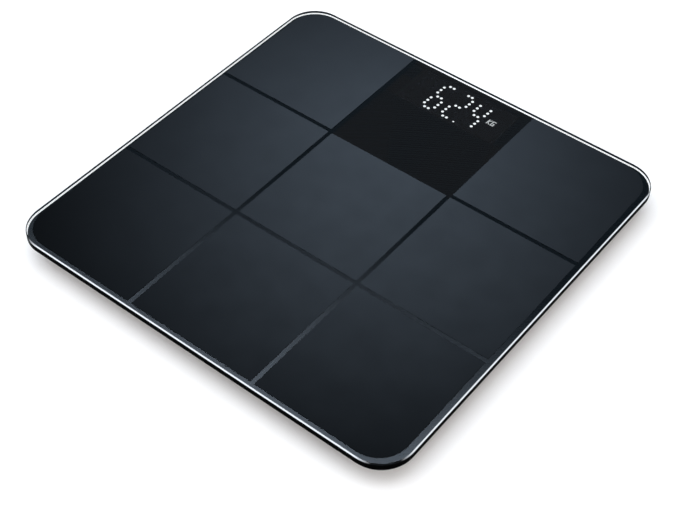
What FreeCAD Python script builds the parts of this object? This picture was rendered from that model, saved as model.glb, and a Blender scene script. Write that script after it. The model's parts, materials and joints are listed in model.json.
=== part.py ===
"""Digital bathroom scale: a glass platform on four weighing feet, with an LED display.

Frame: +Z up, +X to the user's right, +Y away from the user. The origin is on the floor, under
the middle of the square platform. Millimetres throughout.
"""
import FreeCAD, Part
import Sketcher

import math
import os

from FreeCAD import Placement, Rotation, Vector

doc = FreeCAD.newDocument("bathroom_scale")
sheet = doc.addObject("Spreadsheet::Sheet", "dims")

# Alias, value in mm (or a plain ratio), and what it is.
DIMENSIONS = [
    ("plate_side", 300.0, "side of the square glass platform"),
    ("plate_corner", 23.0, "corner radius of the glass, seen from above"),
    ("glass_thick", 6.0, "thickness of the tempered glass"),
    ("top_arris", 0.85, "ground chamfer round the top edge"),
    ("bottom_arris", 0.6, "ground chamfer round the bottom edge"),
    ("under_glass", 16.35, "height of the glass's underside above the floor"),
    ("tile_side", 95.0, "side of one satin tread tile"),
    ("tile_gap", 3.0, "glossy line between two tiles"),
    ("front_tile_extra", 1.2, "how much deeper the front row's tiles are"),
    ("tile_thick", 0.15, "thickness of the tread coating"),
    ("pattern_corner", 20.8, "corner radius of the whole tile pattern"),
    ("print_thick", 0.15, "thickness of the black enamel under the glass"),
    ("window_width", 82.0, "display window in the enamel, along X"),
    ("window_depth", 35.0, "display window in the enamel, along Y"),
    ("display_y", 126.2, "middle of the display, from the platform's middle"),
    ("display_x", 0.5, "middle of the display window"),
    ("tray_width", 130.0, "electronics tray, along X"),
    ("tray_front", 50.0, "Y of the tray's front wall"),
    ("tray_back", 146.0, "Y of the tray's back wall"),
    ("tray_corner", 9.0, "corner radius of the tray"),
    ("tray_round", 1.2, "rounding of the tray's lower edge"),
    ("tray_bottom", 2.5, "floor clearance under the tray"),
    ("tray_wall", 1.8, "thickness of the tray's walls and floor"),
    ("tape_thick", 0.5, "foam tape that bonds the tray and the feet"),
    ("cell_radius", 5.25, "radius of an AAA cell"),
    ("cell_length", 44.5, "length of an AAA cell with its terminal"),
    ("cell_flat", 3.85, "radius of a cell's flat end"),
    ("cell_rim", 0.2, "step between a cell's flat end and its sleeve"),
    ("cell_edge", 0.3, "rounding of the sleeve at the flat end"),
    ("cell_shoulder", 0.5, "rounding of the sleeve at the terminal's end"),
    ("terminal_radius", 1.9, "radius of a cell's terminal"),
    ("terminal_rise", 0.9, "height of a cell's terminal"),
    ("cell_pitch", 11.4, "distance between two cells"),
    ("cell_height", 9.55, "height of the cells' axes above the floor"),
    ("bay_y", 77.0, "middle of the battery bay"),
    ("bay_length", 54.0, "battery bay inside, along X"),
    ("bay_width", 36.0, "battery bay inside, along Y"),
    ("bay_wall", 4.2, "wall of the battery bay, deep enough for the hinge holes"),
    ("bay_roof", 0.75, "roof of the battery bay"),
    ("contact_thick", 0.5, "battery contact plate"),
    ("contact_half", 4.2, "half the height of a contact plate"),
    ("contact_margin", 4.4, "contact plate beyond its outer cell's axis"),
    ("spring_wire", 0.3, "radius of the battery springs' wire"),
    ("spring_wide", 3.6, "radius of a battery spring at its plate"),
    ("spring_narrow", 2.2, "radius of a battery spring at the cell"),
    ("spring_turns", 4.5, "turns of a battery spring"),
    ("spring_seat", 0.375, "end of a spring's wire axis from what it presses"),
    ("door_length", 58.0, "battery door, along X"),
    ("door_width", 40.0, "battery door, along Y"),
    ("door_thick", 1.6, "battery door"),
    ("door_gap", 0.3, "gap round the battery door"),
    ("door_round", 0.35, "rounding of the door's outer edges"),
    ("pin_radius", 0.45, "hinge pins of the battery door"),
    ("pin_play", 0.08, "running clearance of the hinge pins"),
    ("pin_length", 1.3, "hinge pin, out of the door's side"),
    ("rib_width", 1.0, "ribs inside the battery door"),
    ("rib_rise", 1.4, "height of the ribs between the cells"),
    ("rib_margin", 8.0, "end of those ribs from the door's end"),
    ("snap_length", 14.0, "snap rib of the battery door"),
    ("snap_rise", 3.0, "height of the snap rib"),
    ("snap_play", 0.4, "snap rib to the bay's wall"),
    ("grip_length", 16.0, "finger grooves in the battery door"),
    ("grip_width", 0.7, "one finger groove"),
    ("grip_depth", 0.5, "depth of a finger groove"),
    ("grip_pitch", 1.5, "distance between two finger grooves"),
    ("grip_start", 2.4, "first finger groove from the door's back edge"),
    ("board_width", 100.0, "circuit board, along X"),
    ("board_front", 102.0, "Y of the circuit board's front edge"),
    ("board_back", 143.5, "Y of the circuit board's back edge"),
    ("board_bottom", 8.0, "height of the board's underside"),
    ("board_thick", 1.6, "circuit board"),
    ("boss_x", 46.0, "screw bosses, each side of the middle"),
    ("boss_front", 105.5, "Y of the front screw bosses"),
    ("boss_back", 139.8, "Y of the back screw bosses"),
    ("boss_radius", 3.0, "screw boss"),
    ("screw_radius", 1.1, "thread of a board screw"),
    ("screw_length", 4.6, "board screw under its head"),
    ("screw_play", 0.2, "screw in the board's hole"),
    ("head_radius", 2.2, "head of a board screw"),
    ("head_rise", 1.4, "height of a screw's head"),
    ("head_round", 0.5, "rounding of a screw's head"),
    ("cross_length", 2.6, "cross recess of a screw"),
    ("cross_width", 0.7, "width and depth of the cross recess"),
    ("controller_x", -18.0, "middle of the microcontroller"),
    ("controller_y", 120.0, "middle of the microcontroller"),
    ("controller_side", 12.0, "square microcontroller"),
    ("amplifier_x", 9.0, "middle of the weighing amplifier"),
    ("amplifier_y", 130.0, "middle of the weighing amplifier"),
    ("amplifier_length", 10.0, "weighing amplifier"),
    ("amplifier_width", 4.0, "weighing amplifier"),
    ("chip_rise", 1.5, "height of the two chips"),
    ("small_first", -24.0, "middle of the first small part"),
    ("small_pitch", 6.0, "distance between two small parts"),
    ("small_inset", 3.1, "small parts from the board's front edge"),
    ("small_length", 2.0, "small part"),
    ("small_width", 1.25, "small part"),
    ("small_rise", 0.8, "small part"),
    ("socket_rise", 3.5, "wire terminal on the board"),
    ("socket_depth", 4.5, "wire terminal, along its wires"),
    ("socket_margin", 2.0, "wire terminal beyond its outer wires"),
    ("switch_side", 6.0, "square case of the unit switch"),
    ("switch_rise", 1.0, "case of the unit switch"),
    ("plunger_radius", 1.2, "plunger of the unit switch"),
    ("plunger_rise", 0.3, "plunger of the unit switch"),
    ("light_box_width", 78.0, "light box of the display, along X"),
    ("light_box_depth", 33.0, "light box of the display, along Y"),
    ("light_box_gap", 0.1, "air between the light box and the enamel"),
    ("digit_pitch", 15.43, "distance between two digits"),
    ("digit_first", -29.7, "X of the first digit's middle"),
    ("digit_reach", 4.35, "digit's middle to its upright rows of dots"),
    ("digit_rise", 13.93, "digit's middle to its top and bottom rows"),
    ("dot_step_x", 3.14, "two dots in a level row"),
    ("dot_step_y", 3.55, "two dots in an upright row"),
    ("digit_slant", 0.082, "lean of the digits, X for each Y"),
    ("dot_radius", 1.0, "lens of a display dot"),
    ("point_radius", 0.65, "lens of the decimal point"),
    ("point_drop", 0.5, "decimal point below the bottom row"),
    ("lens_clear", 0.05, "clearance of a lens in the light box"),
    ("lens_depth", 1.0, "depth of a lens"),
    ("source_length", 0.9, "light source, along X"),
    ("source_width", 0.6, "light source, along Y"),
    ("source_rise", 0.5, "height of a light source"),
    ("unit_x", 28.8, "middle of the unit mark"),
    ("unit_y", 126.9, "middle of the unit mark"),
    ("unit_shift", 1.6, "unit mark's middle to a letter's middle"),
    ("letter_reach", 0.95, "letter's middle to its side strokes"),
    ("letter_rise", 2.05, "letter's middle to its top and bottom strokes"),
    ("stroke_width", 0.72, "stroke of a letter"),
    ("foot_offset", 117.0, "feet, from the platform's middle lines"),
    ("foot_radius", 27.0, "foot housing at the glass"),
    ("foot_taper", 1.0, "foot housing is this much smaller at its bottom"),
    ("foot_wall", 1.6, "foot housing's wall and roof"),
    ("foot_bottom", 5.6, "height of the foot housing's bottom edge"),
    ("foot_round", 0.5, "rounding of the foot housing's bottom edge"),
    ("foam_inset", 1.0, "foam disc inside the foot housing's outline"),
    ("lip_height", 1.2, "lip that keeps the foot cap in"),
    ("lip_radius", 22.5, "opening inside the lip"),
    ("frame_play", 0.2, "load cell in its frame"),
    ("frame_wall", 1.0, "frame round the load cell"),
    ("post_radius", 2.0, "posts that the load cell's corners press on"),
    ("post_offset", 14.0, "posts, from the foot's middle lines"),
    ("plate_cell_side", 34.0, "square load cell"),
    ("plate_cell_thick", 1.2, "load cell's steel"),
    ("plate_cell_bottom", 10.4, "height of the load cell's underside"),
    ("plate_cell_corner", 3.0, "load cell's corner radius"),
    ("tongue_half", 7.0, "half the width of the load cell's tongue"),
    ("tongue_root", 3.0, "tongue's side slots end this much short"),
    ("slot_width", 2.0, "slot round the load cell's tongue"),
    ("slot_end", 13.0, "slot's far end from the load cell's middle"),
    ("gauge_length", 9.0, "strain gauge, across the tongue"),
    ("gauge_width", 5.0, "strain gauge, along the tongue"),
    ("gauge_rise", 0.5, "strain gauge under its coating"),
    ("gauge_y", 6.5, "strain gauge's middle from the load cell's"),
    ("cap_radius", 21.8, "foot cap below its flange"),
    ("cap_edge", 0.6, "chamfer of the foot cap's rim"),
    ("cap_wall", 1.8, "foot cap's wall"),
    ("cap_floor", 1.6, "foot cap's floor over the rubber"),
    ("cap_bottom", 2.2, "height of the foot cap's rim"),
    ("flange_radius", 23.8, "foot cap's flange"),
    ("flange_bottom", 7.3, "height of the flange's underside"),
    ("flange_thick", 1.5, "foot cap's flange"),
    ("thrust_radius", 5.0, "pin that presses the load cell"),
    ("foot_travel", 0.5, "how far a foot cap moves up under load"),
    ("travel_clear", 0.05, "what is left above the thrust pin at full load"),
    ("rubber_radius", 19.5, "rubber foot"),
    ("rubber_top", 3.4, "height of the rubber foot's top"),
    ("rubber_edge", 0.8, "rounding of the sole's edge"),
    ("rubber_bevel", 0.2, "middle of that rounding, from both faces"),
    ("groove_depth", 0.6, "ring grooves in the sole"),
    ("groove_width", 1.4, "ring grooves in the sole"),
    ("groove_first", 7.0, "inner radius of the first ring groove"),
    ("groove_pitch", 6.0, "distance between the ring grooves"),
    ("button_x", 42.0, "unit button"),
    ("button_y", 122.0, "unit button"),
    ("button_radius", 3.6, "unit button"),
    ("button_play", 0.4, "unit button in its hole"),
    ("button_edge", 0.4, "chamfer of the unit button's face"),
    ("button_bottom", 2.7, "height of the unit button's face"),
    ("button_lift", 0.3, "air under the unit button's flange"),
    ("button_flange", 1.2, "unit button's flange beyond its body"),
    ("button_flange_thick", 0.6, "unit button's flange"),
    ("button_nub", 1.5, "radius of the nub that presses the switch"),
    ("button_travel", 0.8, "travel of the unit button"),
    ("button_slack", 0.4, "nub to the switch at the end of the travel"),
    ("wire_radius", 0.5, "load cell wire"),
    ("wire_pitch", 1.3, "distance between two wires of a lead"),
    ("wire_height", 15.55, "height of the leads along the glass"),
    ("wire_lift", 0.2, "wires over the load cell"),
    ("bundle_play", 1.0, "a notch is this much wider than three wire pitches"),
    ("notch_play", 0.5, "a notch is this much higher than a wire"),
    ("lead_x", 38.0, "front leads where they enter the tray"),
    ("battery_wire", 0.4, "radius of the battery leads"),
    ("clip_length", 7.0, "wire clip, along the lead"),
    ("clip_foot", 3.0, "bonded foot of a wire clip, each side"),
    ("clip_wall", 0.8, "bridge of a wire clip"),
    ("clip_round", 0.3, "rounding of a wire clip"),
]

for row, (alias, value, meaning) in enumerate(DIMENSIONS, start=1):
    sheet.set(f"A{row}", alias)
    sheet.set(f"B{row}", str(value))
    sheet.set(f"C{row}", meaning)
    sheet.setAlias(f"B{row}", alias)
doc.recompute()

nodes = []


def dim(alias):
    """A driving dimension, read back from the spreadsheet."""
    return float(sheet.get(alias))


def bind(item, path, expression):
    """Tie one property to an expression of spreadsheet cells."""
    item.setExpression(path, expression)


def bind_place(item, place, path="Placement.Base."):
    """Tie a position to three expressions."""
    for axis, expression in zip("xyz", place):
        bind(item, path + axis, expression)


def keep(item, label):
    """Name an object as one sub-part of the scale."""
    item.Label = label
    nodes.append(item)
    return item


# --- PartDesign helpers ---------------------------------------------------------------------


def new_body(label):
    body = doc.addObject("PartDesign::Body", label)
    return keep(body, label)


def new_sketch(body, name, role, place):
    """A sketch on one of the body's own origin planes, moved by expressions."""
    sketch = body.newObject("Sketcher::SketchObject", name)
    plane = next(item for item in body.Origin.OriginFeatures if item.Role == role)
    sketch.AttachmentSupport = (plane, [""])
    sketch.MapMode = "FlatFace"
    bind_place(sketch, place, "AttachmentOffset.Base.")
    return sketch


def add_rectangle(sketch, width, depth, tag):
    """A rectangle centred on the sketch's origin, sized by expressions."""
    half = 10.0
    corners = [Vector(x, y, 0) for x, y in ((-half, -half), (half, -half), (half, half), (-half, half))]
    first = sketch.GeometryCount
    for index, corner in enumerate(corners):
        sketch.addGeometry(Part.LineSegment(corner, corners[(index + 1) % 4]), False)
    for index in range(4):
        following = first + (index + 1) % 4
        sketch.addConstraint(Sketcher.Constraint("Coincident", first + index, 2, following, 1))
    for index, kind in enumerate(("Horizontal", "Vertical", "Horizontal", "Vertical")):
        sketch.addConstraint(Sketcher.Constraint(kind, first + index))
    sketch.addConstraint(Sketcher.Constraint("Symmetric", first, 1, first + 1, 2, -1, 1))
    across = sketch.addConstraint(Sketcher.Constraint("DistanceX", first, 1, first, 2, 2 * half))
    along = sketch.addConstraint(Sketcher.Constraint("DistanceY", first + 1, 1, first + 1, 2, 2 * half))
    sketch.renameConstraint(across, tag + "_width")
    sketch.renameConstraint(along, tag + "_depth")
    bind(sketch, f"Constraints.{tag}_width", width)
    bind(sketch, f"Constraints.{tag}_depth", depth)


def add_rounded_rectangle(sketch, width, depth, radius):
    """A rectangle with round corners, centred on the sketch's origin."""
    half = 20.0
    small = 5.0
    flat = half - small
    corners = [(flat, -flat, -90), (flat, flat, 0), (-flat, flat, 90), (-flat, -flat, 180)]
    sides = [((-flat, -half), (flat, -half)), ((half, -flat), (half, flat)),
             ((flat, half), (-flat, half)), ((-half, flat), (-half, -flat))]
    for (start, end), (x, y, angle) in zip(sides, corners):
        sketch.addGeometry(Part.LineSegment(Vector(*start, 0), Vector(*end, 0)), False)
        circle = Part.Circle(Vector(x, y, 0), Vector(0, 0, 1), small)
        sketch.addGeometry(Part.ArcOfCircle(circle, math.radians(angle), math.radians(angle + 90)), False)
    for index in range(8):
        sketch.addConstraint(Sketcher.Constraint("Tangent", index, 2, (index + 1) % 8, 1))
    for index, kind in ((0, "Horizontal"), (2, "Vertical"), (4, "Horizontal"), (6, "Vertical")):
        sketch.addConstraint(Sketcher.Constraint(kind, index))
    for index in (3, 5, 7):
        sketch.addConstraint(Sketcher.Constraint("Equal", 1, index))
    sketch.addConstraint(Sketcher.Constraint("Symmetric", 0, 1, 4, 1, -1, 1))
    rules = [("radius", Sketcher.Constraint("Radius", 1, small), radius),
             ("width", Sketcher.Constraint("DistanceX", 6, 1, 2, 1, 2 * half), width),
             ("depth", Sketcher.Constraint("DistanceY", 0, 1, 4, 1, 2 * half), depth)]
    for tag, rule, expression in rules:
        sketch.renameConstraint(sketch.addConstraint(rule), tag)
        bind(sketch, "Constraints." + tag, expression)


def rounded_sketch(body, name, width, depth, radius, place=("0", "0", "0")):
    sketch = new_sketch(body, name, "XY_Plane", place)
    add_rounded_rectangle(sketch, width, depth, radius)
    return sketch


def rectangle_sketch(body, name, width, depth, place=("0", "0", "0")):
    sketch = new_sketch(body, name, "XY_Plane", place)
    add_rectangle(sketch, width, depth, "outer")
    return sketch


def profile_sketch(body, name, points):
    """A closed outline of (radius, height) expressions, for a revolution about Z."""
    sketch = new_sketch(body, name, "XZ_Plane", ("0", "0", "0"))
    values = [tuple(evaluate(term) for term in point) for point in points]
    count = len(points)
    for index, value in enumerate(values):
        start = Vector(value[0], value[1], 0)
        end = Vector(values[(index + 1) % count][0], values[(index + 1) % count][1], 0)
        sketch.addGeometry(Part.LineSegment(start, end), False)
    for index in range(count):
        sketch.addConstraint(Sketcher.Constraint("Coincident", index, 2, (index + 1) % count, 1))
    for index, (point, value) in enumerate(zip(points, values)):
        for kind, axis, letter, term, number in (
            ("DistanceX", -2, "r", point[0], value[0]),
            ("DistanceY", -1, "z", point[1], value[1]),
        ):
            if number == 0:
                sketch.addConstraint(Sketcher.Constraint("PointOnObject", index, 1, axis))
                continue
            rule = sketch.addConstraint(Sketcher.Constraint(kind, -1, 1, index, 1, number))
            sketch.renameConstraint(rule, f"{letter}_{index}")
            bind(sketch, f"Constraints.{letter}_{index}", term)
    return sketch


def evaluate(expression):
    """The present value of a sum of cells, so that a sketch starts out near its solution."""
    return float(sheet.evalExpression(expression.replace("dims.", "")))


def volume(body):
    return body.Shape.Volume if body.Tip else 0.0


def checked(body, step, adds, before):
    """Recompute, and make sure that a step added to its body or cut from it."""
    doc.recompute()
    change = volume(body) - before
    if (change > 0) != adds or abs(change) < 1e-6:
        raise ValueError(f"{body.Label}.{step.Name} changed the volume by {change}")
    return step


def pad(body, name, sketch, length):
    before = volume(body)
    step = body.newObject("PartDesign::Pad", name)
    step.Profile = sketch
    bind(step, "Length", length)
    return checked(body, step, True, before)


def pocket_up(body, name, sketch, length):
    """A pocket that cuts upwards from its sketch."""
    before = volume(body)
    step = body.newObject("PartDesign::Pocket", name)
    step.Profile = sketch
    step.Reversed = True
    bind(step, "Length", length)
    return checked(body, step, False, before)


def revolve(body, name, points):
    """The first solid of a turned body."""
    sketch = profile_sketch(body, name + "_profile", points)
    step = body.newObject("PartDesign::Revolution", name)
    step.Profile = sketch
    step.ReferenceAxis = (sketch, ["V_Axis"])
    step.Angle = 360.0
    return checked(body, step, True, 0.0)


def block(body, name, adds, size, corner):
    """An additive or subtractive box, sized and placed by expressions."""
    before = volume(body)
    step = body.newObject("PartDesign::AdditiveBox" if adds else "PartDesign::SubtractiveBox", name)
    for path, expression in zip(("Length", "Width", "Height"), size):
        bind(step, path, expression)
    bind_place(step, corner)
    return checked(body, step, adds, before)


def rod(body, name, adds, radius, height, base, turn=Rotation()):
    """An additive or subtractive cylinder, along Z or turned."""
    before = volume(body)
    step = body.newObject("PartDesign::AdditiveCylinder" if adds else "PartDesign::SubtractiveCylinder", name)
    bind(step, "Radius", radius)
    bind(step, "Height", height)
    step.Placement = Placement(Vector(), turn)
    bind_place(step, base)
    return checked(body, step, adds, before)


def round_edges(body, name, base, edges, radius, kind="Fillet", prop="Radius"):
    """A fillet or chamfer on the base feature's edges that the test picks."""
    before = volume(body)
    names = [f"Edge{index}" for index, edge in enumerate(base.Shape.Edges, start=1) if edges(edge)]
    step = body.newObject("PartDesign::" + kind, name)
    step.Base = (base, names)
    bind(step, prop, radius)
    return checked(body, step, False, before)


def upright(edge):
    """Whether an edge is a straight one along Z."""
    if not isinstance(edge.Curve, Part.Line):
        return False
    return abs(abs(edge.Curve.Direction.z) - 1) < 1e-6


def at_height(height):
    """A test for the edges that lie level at a height."""

    def test(edge):
        box = edge.BoundBox
        return abs(box.ZMin - height) < 1e-4 and abs(box.ZMax - height) < 1e-4

    return test


# --- Part helpers ---------------------------------------------------------------------------


def box(name, size, corner):
    item = doc.addObject("Part::Box", name)
    for path, expression in zip(("Length", "Width", "Height"), size):
        bind(item, path, expression)
    bind_place(item, corner)
    return item


def box_on(name, size, middle, low):
    """A box centred on a point in plan, standing on a height."""
    corner = [f"{place} - ({length})/2" for place, length in zip(middle, size)]
    return box(name, size, (*corner, low))


def cylinder(name, radius, height, base):
    item = doc.addObject("Part::Cylinder", name)
    bind(item, "Radius", radius)
    bind(item, "Height", height)
    bind_place(item, base)
    return item


def cut(name, base, tool):
    item = doc.addObject("Part::Cut", name)
    item.Base = base
    item.Tool = tool
    return item


def fuse(name, shapes):
    item = doc.addObject("Part::MultiFuse", name)
    item.Shapes = shapes
    return item


def group(name, items):
    item = doc.addObject("Part::Compound", name)
    item.Links = items
    return item


def soften(name, base, radius, edges=upright):
    """A Part fillet on the edges that the test picks, all the upright ones if none is given."""
    doc.recompute()
    item = doc.addObject("Part::Fillet", name)
    item.Base = base
    size = evaluate(radius)
    picks = [index for index, edge in enumerate(base.Shape.Edges, start=1) if edges(edge)]
    item.Edges = [(index, size, size) for index in picks]
    return item


def solid_feature(label, shape):
    """A sub-part whose shape is worked out in code from the spreadsheet."""
    item = doc.addObject("Part::Feature", label)
    item.Shape = shape
    item.Placement = Placement()
    return keep(item, label)


# --- Platform: glass, enamel, tread tiles -----------------------------------------------------

ENAMEL_BOTTOM = "(dims.under_glass - dims.print_thick)"
TAPE_BOTTOM = "(dims.under_glass - dims.print_thick - dims.tape_thick)"
GLASS_TOP = "(dims.under_glass + dims.glass_thick)"


def make_glass():
    """Square tempered plate with rounded corners and ground arrises."""
    body = new_body("glass_platform")
    sketch = rounded_sketch(body, "glass_outline", "dims.plate_side", "dims.plate_side",
                            "dims.plate_corner", ("0", "0", "dims.under_glass"))
    plate = pad(body, "glass_plate", sketch, "dims.glass_thick")
    top = at_height(evaluate(GLASS_TOP))
    arris = round_edges(body, "glass_top_arris", plate, top, "dims.top_arris", "Chamfer", "Size")
    low = at_height(dim("under_glass"))
    round_edges(body, "glass_low_arris", arris, low, "dims.bottom_arris", "Chamfer", "Size")


def make_enamel():
    """Black enamel under the glass, with the display's window left open, and the window film."""
    side = "dims.plate_side - 2*dims.bottom_arris"
    blank = box_on("enamel_blank", (side, side, "dims.print_thick"), ("0", "0"), ENAMEL_BOTTOM)
    rounded = soften("enamel_rounded", blank, "dims.plate_corner - dims.bottom_arris")
    size = ("dims.window_width", "dims.window_depth", "dims.print_thick")
    middle = ("dims.display_x", "dims.display_y")
    opening = box_on("enamel_opening", size, middle, ENAMEL_BOTTOM)
    keep(cut("back_print", rounded, opening), "back_print")
    keep(box_on("display_window", size, middle, ENAMEL_BOTTOM), "display_window")


def make_tread_tiles():
    """Eight satin tiles in a three by three grid; the display takes the back middle place."""
    pitch = "(dims.tile_side + dims.tile_gap)"
    tiles = []
    for column in (-1, 0, 1):
        for line in (-1, 0, 1):
            if (column, line) != (0, 1):
                extra = f"{int(line == -1)}*dims.front_tile_extra"
                size = ("dims.tile_side", f"(dims.tile_side + {extra})", "dims.tile_thick")
                middle = (f"{column}*{pitch}", f"({line}*{pitch} - {extra}/2)")
                tiles.append(box_on(f"tile_{column + 1}_{line + 1}", size, middle, GLASS_TOP))
    side = "(3*dims.tile_side + 2*dims.tile_gap)"
    size = (side, f"({side} + dims.front_tile_extra)", "dims.tile_thick")
    outline = box_on("pattern_blank", size, ("0", "(-dims.front_tile_extra/2)"), GLASS_TOP)
    common = doc.addObject("Part::Common", "tread_tiles")
    common.Base = group("tile_grid", tiles)
    common.Tool = soften("pattern_outline", outline, "dims.pattern_corner")
    keep(common, "tread_tiles")


# --- Electronics tray -------------------------------------------------------------------------

TRAY_Y = "((dims.tray_front + dims.tray_back)/2)"
TRAY_DEPTH = "(dims.tray_back - dims.tray_front)"
TRAY_FLOOR = "(dims.tray_bottom + dims.tray_wall)"
HINGE_Y = "(dims.bay_y - dims.door_width/2 + dims.door_thick/2)"
HINGE_Z = "(dims.tray_bottom + dims.door_thick/2)"
BUNDLE = "(3*dims.wire_pitch + dims.bundle_play)"
ALONG_X = Rotation(Vector(0, 1, 0), 90)


def make_tray():
    """Open tray under the display, with the battery bay moulded in."""
    body = new_body("electronics_tray")
    rim = TAPE_BOTTOM
    outline = rounded_sketch(body, "tray_outline", "dims.tray_width", TRAY_DEPTH, "dims.tray_corner",
                             ("0", TRAY_Y, "dims.tray_bottom"))
    shell = pad(body, "tray_block", outline, f"{rim} - dims.tray_bottom")
    round_edges(body, "tray_low_edge", shell, at_height(dim("tray_bottom")), "dims.tray_round")
    hollow = rounded_sketch(body, "tray_hollow", "dims.tray_width - 2*dims.tray_wall",
                            f"{TRAY_DEPTH} - 2*dims.tray_wall", "dims.tray_corner - dims.tray_wall",
                            ("0", TRAY_Y, TRAY_FLOOR))
    pocket_up(body, "tray_inside", hollow, "dims.under_glass")
    bay = rectangle_sketch(body, "bay_outline", "dims.bay_length + 2*dims.bay_wall",
                           "dims.bay_width + 2*dims.bay_wall", ("0", "dims.bay_y", TRAY_FLOOR))
    pad(body, "bay_block", bay, f"{rim} - {TRAY_FLOOR}")
    cavity = rectangle_sketch(body, "bay_cavity_outline", "dims.bay_length", "dims.bay_width",
                              ("0", "dims.bay_y", "dims.tray_bottom"))
    pocket_up(body, "bay_cavity", cavity, f"{rim} - dims.bay_roof - dims.tray_bottom")
    recess = rectangle_sketch(body, "door_recess_outline", "dims.door_length + 2*dims.door_gap",
                              "dims.door_width + 2*dims.door_gap", ("0", "dims.bay_y", "dims.tray_bottom"))
    pocket_up(body, "door_recess", recess, "dims.door_thick + dims.door_gap/2")
    rod(body, "button_hole", False, "dims.button_radius + dims.button_play", "dims.tray_wall",
        ("dims.button_x", "dims.button_y", "dims.tray_bottom"))
    for side in (-1, 1):
        make_hinge_hole(body, side)
        make_lead_notches(body, side)
        for place in ("front", "back"):
            make_boss(body, side, place)


def make_hinge_hole(body, side):
    """Blind hole in the door recess's side for one of the door's pins."""
    depth = "dims.pin_length + dims.door_gap"
    start = "dims.door_length/2" if side > 0 else f"-(dims.door_length/2 + {depth})"
    rod(body, f"hinge_hole_{side + 1}", False, "dims.pin_radius + dims.pin_play", depth,
        (start, HINGE_Y, HINGE_Z), ALONG_X)


def make_lead_notches(body, side):
    """Notches in the front and side walls for the load cells' leads, and a hole for a battery lead."""
    through = "(dims.tray_wall + 2)"
    rise = "2*dims.wire_radius + dims.notch_play"
    low = "dims.wire_height - dims.wire_radius - dims.wire_lift"
    block(body, f"front_notch_{side + 1}", False, (BUNDLE, through, rise),
          (f"{side}*dims.lead_x - {BUNDLE}/2", "dims.tray_front - 1", low))
    block(body, f"side_notch_{side + 1}", False, (through, BUNDLE, rise),
          (f"{side}*(dims.tray_width/2 - dims.tray_wall/2) - {through}/2",
           f"dims.foot_offset - {BUNDLE}/2", low))
    width = "3*dims.battery_wire"
    length = "(dims.bay_wall + 1)"
    block(body, f"battery_lead_hole_{side + 1}", False, (length, width, width),
          (f"{side}*(dims.bay_length/2 + {length}/2) - {length}/2",
           f"{BATTERY_LEAD_Y} - 1.5*dims.battery_wire", f"{BATTERY_LEAD_Z} - 1.5*dims.battery_wire"))


def make_boss(body, side, place):
    """A boss that carries the board, with a pilot hole for its screw."""
    base = (f"{side}*dims.boss_x", f"dims.boss_{place}", TRAY_FLOOR)
    rise = f"dims.board_bottom - {TRAY_FLOOR}"
    rod(body, f"boss_{place}_{side + 1}", True, "dims.boss_radius", rise, base)
    rod(body, f"pilot_{place}_{side + 1}", False, "dims.screw_radius", rise, base)


def make_tray_tape():
    """Foam tape between the tray's rim and the enamel, split where the leads pass."""
    wall = "dims.tray_wall"
    outer = box_on("tray_tape_outer", ("dims.tray_width", TRAY_DEPTH, "dims.tape_thick"), ("0", TRAY_Y),
                   TAPE_BOTTOM)
    inner = box_on("tray_tape_inner",
                   (f"dims.tray_width - 2*{wall}", f"{TRAY_DEPTH} - 2*{wall}", "dims.tape_thick"),
                   ("0", TRAY_Y), TAPE_BOTTOM)
    tools = [soften("tray_tape_hole", inner, f"dims.tray_corner - {wall}")]
    across = "3*dims.tray_wall"
    for side in (-1, 1):
        tools.append(box_on(f"tape_gap_front_{side + 1}", (BUNDLE, across, "dims.tape_thick"),
                            (f"{side}*dims.lead_x", "dims.tray_front"), TAPE_BOTTOM))
        tools.append(box_on(f"tape_gap_side_{side + 1}", (across, BUNDLE, "dims.tape_thick"),
                            (f"{side}*dims.tray_width/2", "dims.foot_offset"), TAPE_BOTTOM))
    rounded = soften("tray_tape_rounded", outer, "dims.tray_corner")
    keep(cut("tray_tape", rounded, fuse("tray_tape_gaps", tools)), "tray_tape")


# --- Battery bay ------------------------------------------------------------------------------

BATTERY_LEAD_Y = "(dims.bay_y + dims.cell_pitch + 1)"
BATTERY_LEAD_Z = "(dims.cell_height + 0.6)"
RUNS_PER_TURN = 14
RIGHT_CORNER = 1


def make_batteries():
    """Three AAA cells side by side, the middle one turned round."""
    base = "dims.cell_length - dims.terminal_rise"
    for number, (line, turn) in enumerate(((-1, 1), (0, -1), (1, 1)), start=1):
        body = new_body(f"battery_{number}")
        revolve(body, "cell_can", [
            ("0", "0"),
            ("dims.cell_flat", "0"),
            ("dims.cell_flat + dims.cell_rim", "dims.cell_rim"),
            ("dims.cell_radius - dims.cell_edge", "dims.cell_rim"),
            ("dims.cell_radius", "dims.cell_rim + dims.cell_edge"),
            ("dims.cell_radius", f"{base} - dims.cell_shoulder"),
            ("dims.cell_radius - dims.cell_shoulder", base),
            ("dims.terminal_radius", base),
            ("dims.terminal_radius - dims.cell_rim", "dims.cell_length"),
            ("0", "dims.cell_length"),
        ])
        body.Placement = Placement(Vector(), Rotation(Vector(0, 1, 0), 90 * turn))
        start = f"{turn}*(dims.bay_length/2 - dims.contact_thick - dims.cell_length)"
        bind_place(body, (start, f"dims.bay_y + {line}*dims.cell_pitch", "dims.cell_height"))


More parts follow.
